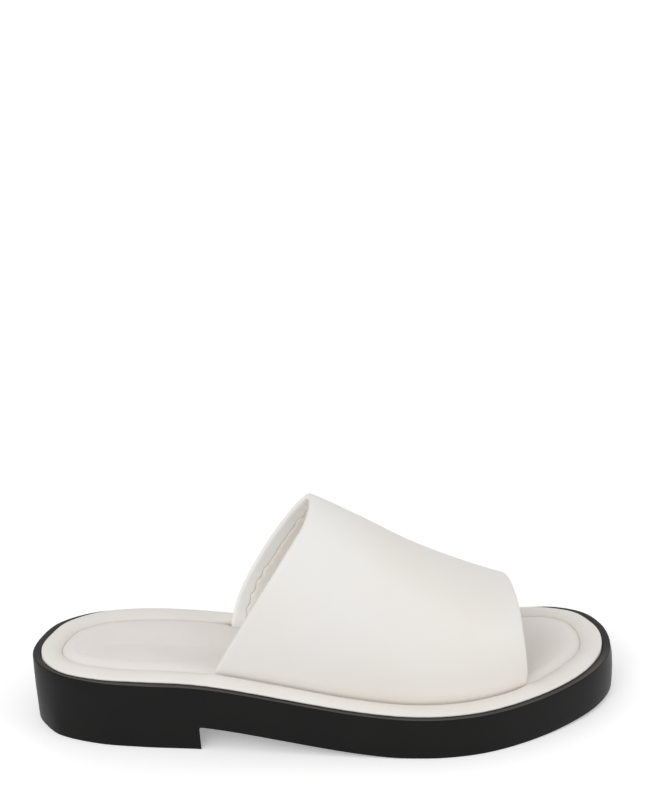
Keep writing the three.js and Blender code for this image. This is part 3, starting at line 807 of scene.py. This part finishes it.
def lift_from_groove(rows, tuck=0.0):
    """Adds the tails that stand down in the groove, tucked in towards the foot by that much."""
    def tail(row, share, inward):
        moved = row.copy()
        moved[:, 1] += inward * tuck
        moved[:, 2] += (ledge_height(row[:, 0]) - TRAY_DEPTH + BAND_LIFT - row[:, 2]) * share
        return moved

    first = [tail(rows[0], s, 1) for s in (1.0, 0.5, 0.2)]
    last = [tail(rows[-1], s, -1) for s in (0.2, 0.5, 1.0)]
    return first + list(rows) + last


def tube_of(rows, name, material, stands_for=()):
    """A closed body from equal closed loops of points, capped at both ends."""
    count = len(rows[0])
    faces = walls(len(rows), count)
    faces.append(list(range(count))[::-1])
    faces.append([(len(rows) - 1) * count + k for k in range(count)])
    return piece(name, np.vstack(rows), faces, material, stands_for)


def make_band():
    """The band's leather: outer face, folded edges and the margins turned in over the lining."""
    radius = FOLD_DEPTH / 2
    angle = np.pi * np.arange(1, 8) / 8
    outside = 88
    rows = []
    for turn in TURNS:
        collar, front = float(edge_x(turn, "collar")), float(edge_x(turn, "front"))
        collar_end = collar + collar_margin(turn)
        front_end = front - front_margin(turn)
        low, high = collar + radius, front - radius

        # The outer face and the fold at the toe opening
        x = low + (high - low) * np.linspace(0, 1, outside)
        depth = np.zeros(outside)
        x = np.append(x, high + radius * np.sin(angle))
        depth = np.append(depth, radius * (1 - np.cos(angle)))

        # The margin turned in there, with its gathers and its cut edge
        inward = np.linspace(high, front_end, 8)
        gather = 0.13 * pucker(turn, 0.4) * smooth_step(high - inward, 0.0, 3.0)
        x = np.append(x, inward)
        depth = np.append(depth, FOLD_DEPTH + gather)
        x = np.append(x, [front_end - 0.22, front_end - 0.3, front_end - 0.3])
        depth = np.append(depth, [FOLD_DEPTH - 0.12, FOLD_DEPTH - 0.4, LEATHER])

        # The leather's back between the margins
        middle = np.linspace(front_end - 0.3, collar_end + 0.3, 26)[1:-1]
        x = np.append(x, middle)
        depth = np.append(depth, np.full(len(middle), LEATHER))

        # The margin turned in at the collar and the fold there
        x = np.append(x, [collar_end + 0.3, collar_end + 0.3, collar_end + 0.22])
        depth = np.append(depth, [LEATHER, FOLD_DEPTH - 0.4, FOLD_DEPTH - 0.12])
        inward = np.linspace(collar_end, low, 8)
        gather = 0.2 * pucker(turn, 2.2) * smooth_step(inward - low, 0.0, 3.0)
        x = np.append(x, inward)
        depth = np.append(depth, FOLD_DEPTH + gather)
        x = np.append(x, low - radius * np.sin(angle[::-1]))
        depth = np.append(depth, radius * (1 - np.cos(angle[::-1])))
        rows.append(in_band(x, turn, depth))

    # Only the leather near the outer face is tucked in
    rows = lift_from_groove(rows, BAND_TUCK * np.clip(1 - depth / LEATHER, 0.0, 1.0))
    made = tube_of(rows, "upper_band", BAND_LEATHER, ["upper"])

    # The turned-in leather runs inside from the middle of one fold to the middle of the other, in a lighter
    # copy of the band leather that paints light into the shade there
    made.data.materials.append(TURNED_IN_LEATHER_PAINTED_LIGHT)
    count = len(rows[0])
    half_fold = (len(angle) + 1) // 2
    for i in range((len(rows) - 1) * count):
        inside = outside + half_fold <= i % count < count - half_fold
        made.data.polygons[i].material_index = int(inside)


def make_lining():
    """The lining sheet inside the band, between the two turned-in margins."""
    steps = 60
    rows = []
    for turn in TURNS:
        start = float(edge_x(turn, "collar")) + collar_margin(turn) + LINING_GAP
        end = float(edge_x(turn, "front")) - front_margin(turn) - LINING_GAP
        line = np.linspace(start, end, steps)
        x = np.concatenate([line, line[::-1]])
        slack = 0.12 * np.sin(line / 5.0 + 9 * turn) * np.sin(14 * turn + line / 11.0)
        slack *= smooth_step(np.minimum(line - start, end - line), 0.0, 5.0)
        depth = np.concatenate([np.full(steps, LEATHER + 0.1), LINING_DEPTH + slack[::-1]])
        rows.append(in_band(x, turn, depth))
    tube_of(lift_from_groove(rows), "band_lining", LINING_LEATHER)


make_sole()
make_border()
make_insole()
make_band()
make_lining()


def make_floor(reach=15.0):
    """The white sheet it stands on, reaching that many metres each way."""
    mesh = bpy.data.meshes.new("floor")
    corners = [(-reach, -reach, 0), (reach, -reach, 0), (reach, reach, 0), (-reach, reach, 0)]
    mesh.from_pydata(corners, [], [[0, 1, 2, 3]])
    made = bpy.data.objects.new("floor", mesh)
    bpy.context.scene.collection.objects.link(made)
    paper = bpy.data.materials.new("white_studio_floor")
    paper.use_nodes = True
    shader = paper.node_tree.nodes["Principled BSDF"]
    shader.inputs["Base Color"].default_value = (0.95, 0.95, 0.95, 1.0)
    shader.inputs["Roughness"].default_value = 0.9
    shader.inputs["Specular IOR Level"].default_value = 0.1
    shader.inputs["Emission Color"].default_value = (1.0, 1.0, 1.0, 1.0)
    shader.inputs["Emission Strength"].default_value = 0.3
    mesh.materials.append(paper)
    made.visible_diffuse = False


def softbox(name, place, aim, size, power):
    """A white area light at a place in metres, pointed at another."""
    light = bpy.data.lights.new(name, "AREA")
    light.shape = "RECTANGLE"
    light.size, light.size_y = size
    light.energy = power
    made = bpy.data.objects.new(name, light)
    made.location = place
    ray = np.array(aim, float) - np.array(place, float)
    flat = math.hypot(ray[0], ray[1])
    made.rotation_euler = (math.atan2(flat, -ray[2]), 0.0, math.atan2(-ray[0], ray[1]))
    bpy.context.scene.collection.objects.link(made)


def make_studio():
    """Even white light from all round and four soft lamps."""
    world = bpy.data.worlds.new("studio")
    world.use_nodes = True
    background = world.node_tree.nodes["Background"]
    background.inputs["Color"].default_value = (1.0, 1.0, 1.0, 1.0)
    background.inputs["Strength"].default_value = 0.62
    bpy.context.scene.world = world
    softbox("front_softbox", (-0.7, -1.4, 1.1), (0.0, 0.0, 0.03), (0.9, 0.9), 7.8)
    softbox("toe_softbox", (1.6, -0.7, 0.8), (0.0, 0.0, 0.03), (1.0, 1.0), 6.0)
    softbox("heel_softbox", (-1.3, -0.6, 0.95), (0.0, 0.0, 0.05), (0.9, 0.9), 2.4)
    softbox("back_strip", (0.0, 1.7, 1.02), (0.0, 0.0, 0.03), (2.4, 0.5), 2.5)
    bpy.context.scene.view_settings.view_transform = "Standard"


def make_camera():
    """The photograph's view: 31 degrees above the floor, the toe turned 5 degrees away. Its height, focal
    length and aim are in pixels."""
    sensor = 36.0
    picture, focal, aim_below = 800.0, 3548.0, 290.0
    lens = bpy.data.cameras.new("camera")
    lens.lens = focal / picture * sensor
    lens.sensor_width = sensor
    lens.clip_start, lens.clip_end = 0.01, 100.0
    camera = bpy.data.objects.new("camera", lens)
    bpy.context.scene.collection.objects.link(camera)
    rise, turn, distance = math.radians(31.0), math.radians(5.0), 1600.0
    target = np.array([129.14, -17.95, 20.0])
    back = np.array([-math.sin(turn) * math.cos(rise), -math.cos(turn) * math.cos(rise), math.sin(rise)])
    camera.location = (target + back * distance + ORIGIN) * MM
    tilt = rise - math.atan(aim_below / focal)
    camera.rotation_euler = (math.pi / 2 - tilt, 0.0, -turn)
    bpy.context.scene.camera = camera


make_floor()
make_studio()
make_camera()
bpy.context.view_layer.update()
